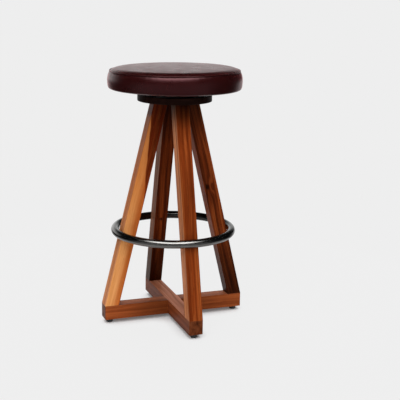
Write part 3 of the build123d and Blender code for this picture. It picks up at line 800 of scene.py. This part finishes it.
# Cloth under the seat
def cloth_disc(name, steps=240):
    """Taut black cloth: flat under the board, stepping down over the leather's edge."""
    rows = [(0.0, 0.7014), (0.03, 0.7014), (0.06, 0.7014), (0.078, 0.7014), (0.092, 0.7014),
            (0.12, 0.7012), (0.145, 0.7010), (0.158, 0.7006), (0.1645, 0.7003), (0.1662, 0.69985),
            (0.172, 0.6998), (0.179, 0.6998), (0.1836, 0.6999)]
    scallop, scallop_from = 0.0009, 0.18       # the edge draws back between the staples
    droop, droop_from, droop_width = 0.00035, 0.168, 0.016
    bm = bmesh.new()
    lines = []
    for reach, z in rows:
        if reach == 0:
            lines.append([bm.verts.new((0, 0, z))])
            continue
        line = []
        for i in range(steps):
            a = 2 * math.pi * i / steps
            pull = 0.5 + 0.5 * math.cos(a * STAPLES)
            r = reach - (scallop * (1 - pull) if reach > scallop_from else 0)
            sag = -droop * (1 - pull) * max(0, (reach - droop_from) / droop_width)
            line.append(bm.verts.new((r * math.cos(a), r * math.sin(a), z + sag)))
        lines.append(line)
    for a, b in zip(lines, lines[1:]):
        for i in range(steps):
            j = (i + 1) % steps
            if len(a) == 1:
                bm.faces.new((a[0], b[j], b[i]))
            else:
                bm.faces.new((a[i], a[j], b[j], b[i]))
    return mesh_object(name, bm)


dust = cloth_disc("dust_cloth")
dust.data.materials.append(woven("black_cloth", lin(30, 29, 30), 0.0012))
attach(dust, "seat")
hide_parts("dust_cover")

# Camera: metres from the axis and over the floor, focal length in picture widths, and radians
CAMERA_BACK, CAMERA_UP = 2.79522, 1.02344
FOCAL = 953.27 / 400
PITCH, TURN, ROLL = -0.23124, 0.02853, 0.01823
SENSOR = 36

# Ways in the photograph, X to its right and Y away from the camera, are turned round to the stool
around = Matrix.Rotation(-YAW, 3, "Z")
level = Vector((math.sin(TURN), math.cos(TURN), 0))
ahead = level * math.cos(PITCH) + Vector((0, 0, math.sin(PITCH)))
above = -level * math.sin(PITCH) + Vector((0, 0, math.cos(PITCH)))
right = Vector((math.cos(TURN), -math.sin(TURN), 0))
cam_x = right * math.cos(ROLL) + above * math.sin(ROLL)
cam_y = above * math.cos(ROLL) - right * math.sin(ROLL)
axes = [around @ v for v in (cam_x, cam_y, -ahead)]
place = around @ Vector((0, -CAMERA_BACK, CAMERA_UP))
camera_data = bpy.data.cameras.new("camera")
camera_data.sensor_width = SENSOR
camera_data.lens = SENSOR * FOCAL
camera_data.clip_end = 50
camera = bpy.data.objects.new("camera", camera_data)
bpy.context.scene.collection.objects.link(camera)
camera_rows = [(*row, p) for row, p in zip(zip(*axes), place)]
camera.matrix_world = Matrix((*camera_rows, (0, 0, 0, 1)))
bpy.context.scene.camera = camera

# Floor
BACKGROUND = lin(238, 238, 238)
FLOOR_REACH = 9
floor_mesh = bpy.data.meshes.new("floor")
corners = [(x * FLOOR_REACH, y * FLOOR_REACH, 0) for x, y in ((-1, -1), (1, -1), (1, 1), (-1, 1))]
floor_mesh.from_pydata(corners, [], [(0, 1, 2, 3)])
floor = bpy.data.objects.new("floor", floor_mesh)
bpy.context.scene.collection.objects.link(floor)
ground = Shader("floor")
ground.tree.nodes.remove(ground.bsdf)
diffuse = ground.node("BsdfDiffuse", {"Color": (0.74, 0.74, 0.745, 1)})
glow = ground.node("Emission", {"Color": (*BACKGROUND, 1), "Strength": 1.0})
distance = ground.vector("LENGTH", ground.coords())
front_way = around @ Vector((-0.1, -0.995, 0))
to_front = ground.vector("DOT_PRODUCT", ground.coords(), front_way)
to_front = ground.math("DIVIDE", to_front, distance)
at_back = ground.range(to_front, -0.97, -0.6, 1.0, 0.0, smooth=True)

# The camera sees the background's own white, apart from the soft shadow close to the glides.
# Gloss sees it too where it looks behind the stool.
far = ground.range(distance, 0.3, 1.1, smooth=True)
hidden = ground.node("AmbientOcclusion", {"Distance": 0.06}, samples=16)
open_floor = ground.range(hidden.outputs["AO"], 0.30, 0.85, 0.12, 0.96, smooth=True)
pale = ground.math("MAXIMUM", far, open_floor)
ray = ground.node("LightPath")
glossy = ray.outputs["Is Glossy Ray"]
rays = ground.math("MAXIMUM", ray.outputs["Is Camera Ray"], ray.outputs["Is Transmission Ray"])
rays = ground.math("MAXIMUM", rays, ground.math("MULTIPLY", glossy, at_back))
surface = ground.mix_shaders(ground.math("MULTIPLY", pale, rays), diffuse, glow)

# Gloss shows the pale floor near the stool and behind it, and a dark room beyond
beyond_floor = ground.range(distance, 0.4, 0.95, smooth=True)
beyond_floor = ground.math("MULTIPLY", beyond_floor, ground.math("SUBTRACT", 1.0, at_back))
front_glow = ground.math("MULTIPLY", ground.range(to_front, 0.10, 0.72, smooth=True),
                         ground.range(distance, 1.0, 1.6, smooth=True))
room_light = ground.math("MULTIPLY_ADD", front_glow, 0.45, 0.02)
room = ground.node("Emission", {"Color": (1, 1, 1, 1), "Strength": room_light})
surface = ground.mix_shaders(ground.math("MULTIPLY", beyond_floor, glossy), surface, room)
ground.put(ground.out.inputs[0], surface)
floor_mesh.materials.append(ground.material)

# World
world = bpy.data.worlds.new("world")
bpy.context.scene.world = world
world.use_nodes = True
sky = Nodes(world.node_tree)
direction = sky.node("TexCoord").outputs["Generated"]


def towards(x, y, z):
    """How directly a ray looks along a way in the photograph, from -1 to 1."""
    return sky.vector("DOT_PRODUCT", direction, around @ Vector((x, y, z)))


# Gloss sees a dark room with a pale wall behind, a dim glow low in front and a soft box above that
height = towards(0, 0, 1)
behind = towards(0, 1, 0)
wall = sky.math("MULTIPLY", sky.range(towards(-0.36, 0.933, 0), 0.62, 0.96, smooth=True),
                sky.range(height, 0.22, 0.46, 1.0, 0.0, smooth=True))
box_up = sky.math("MULTIPLY", sky.range(height, 0.50, 0.68, smooth=True),
                  sky.range(height, 0.86, 0.95, 1.0, 0.0, smooth=True))
box_side = sky.range(sky.math("ABSOLUTE", towards(1, 0, 0)), 0.34, 0.70, 1.0, 0.0, smooth=True)
box_front = sky.range(behind, -0.24, -0.10, 1.0, 0.0, smooth=True)
soft_box = sky.math("MULTIPLY", sky.math("MULTIPLY", box_up, box_side), box_front)
front_low = sky.math("MULTIPLY", sky.range(behind, -0.72, -0.10, 1.0, 0.0, smooth=True),
                     sky.range(height, 0.10, 0.30, 1.0, 0.0, smooth=True))
gloss = sky.math("ADD", sky.math("MULTIPLY", wall, 1.1), sky.math("MULTIPLY", soft_box, 8.4))
gloss = sky.math("ADD", gloss, sky.math("MULTIPLY", front_low, 0.45))
gloss = sky.math("ADD", gloss, 0.02)

# Dull surfaces take soft light, stronger from the front, and the camera sees the background
front = sky.range(behind, -0.9, 0.5, 1.0, 0.0, smooth=True)
dull = sky.math("ADD", sky.math("MULTIPLY", front, 0.22), 0.18)
sky_ray = sky.node("LightPath")
strength = sky.mix_numbers(sky_ray.outputs["Is Glossy Ray"], dull, gloss)
strength = sky.mix_numbers(sky_ray.outputs["Is Camera Ray"], strength, BACKGROUND[0])
background = sky.node("Background", {"Color": (1, 1, 1, 1), "Strength": strength})
sky.put(sky.node("OutputWorld").inputs[0], background)


# Lamps
def sun(name, azimuth, elevation, strength, angle):
    """Soft lamp that gloss doesn't show; azimuth 0 is behind the camera, positive to its right."""
    data = bpy.data.lights.new(name, "SUN")
    data.energy = strength
    data.angle = math.radians(angle)
    ob = bpy.data.objects.new(name, data)
    bpy.context.scene.collection.objects.link(ob)
    a, e = math.radians(azimuth), math.radians(elevation)
    source = around @ Vector((math.sin(a) * math.cos(e), -math.cos(a) * math.cos(e), math.sin(e)))
    ob.rotation_mode = "QUATERNION"
    ob.rotation_quaternion = source.to_track_quat("Z", "Y")
    ob.visible_glossy = False


sun("top_light", azimuth=180, elevation=80, strength=1.7, angle=40)
sun("key_light", azimuth=-12, elevation=46, strength=2.2, angle=50)

bpy.context.scene.view_settings.view_transform = "Standard"
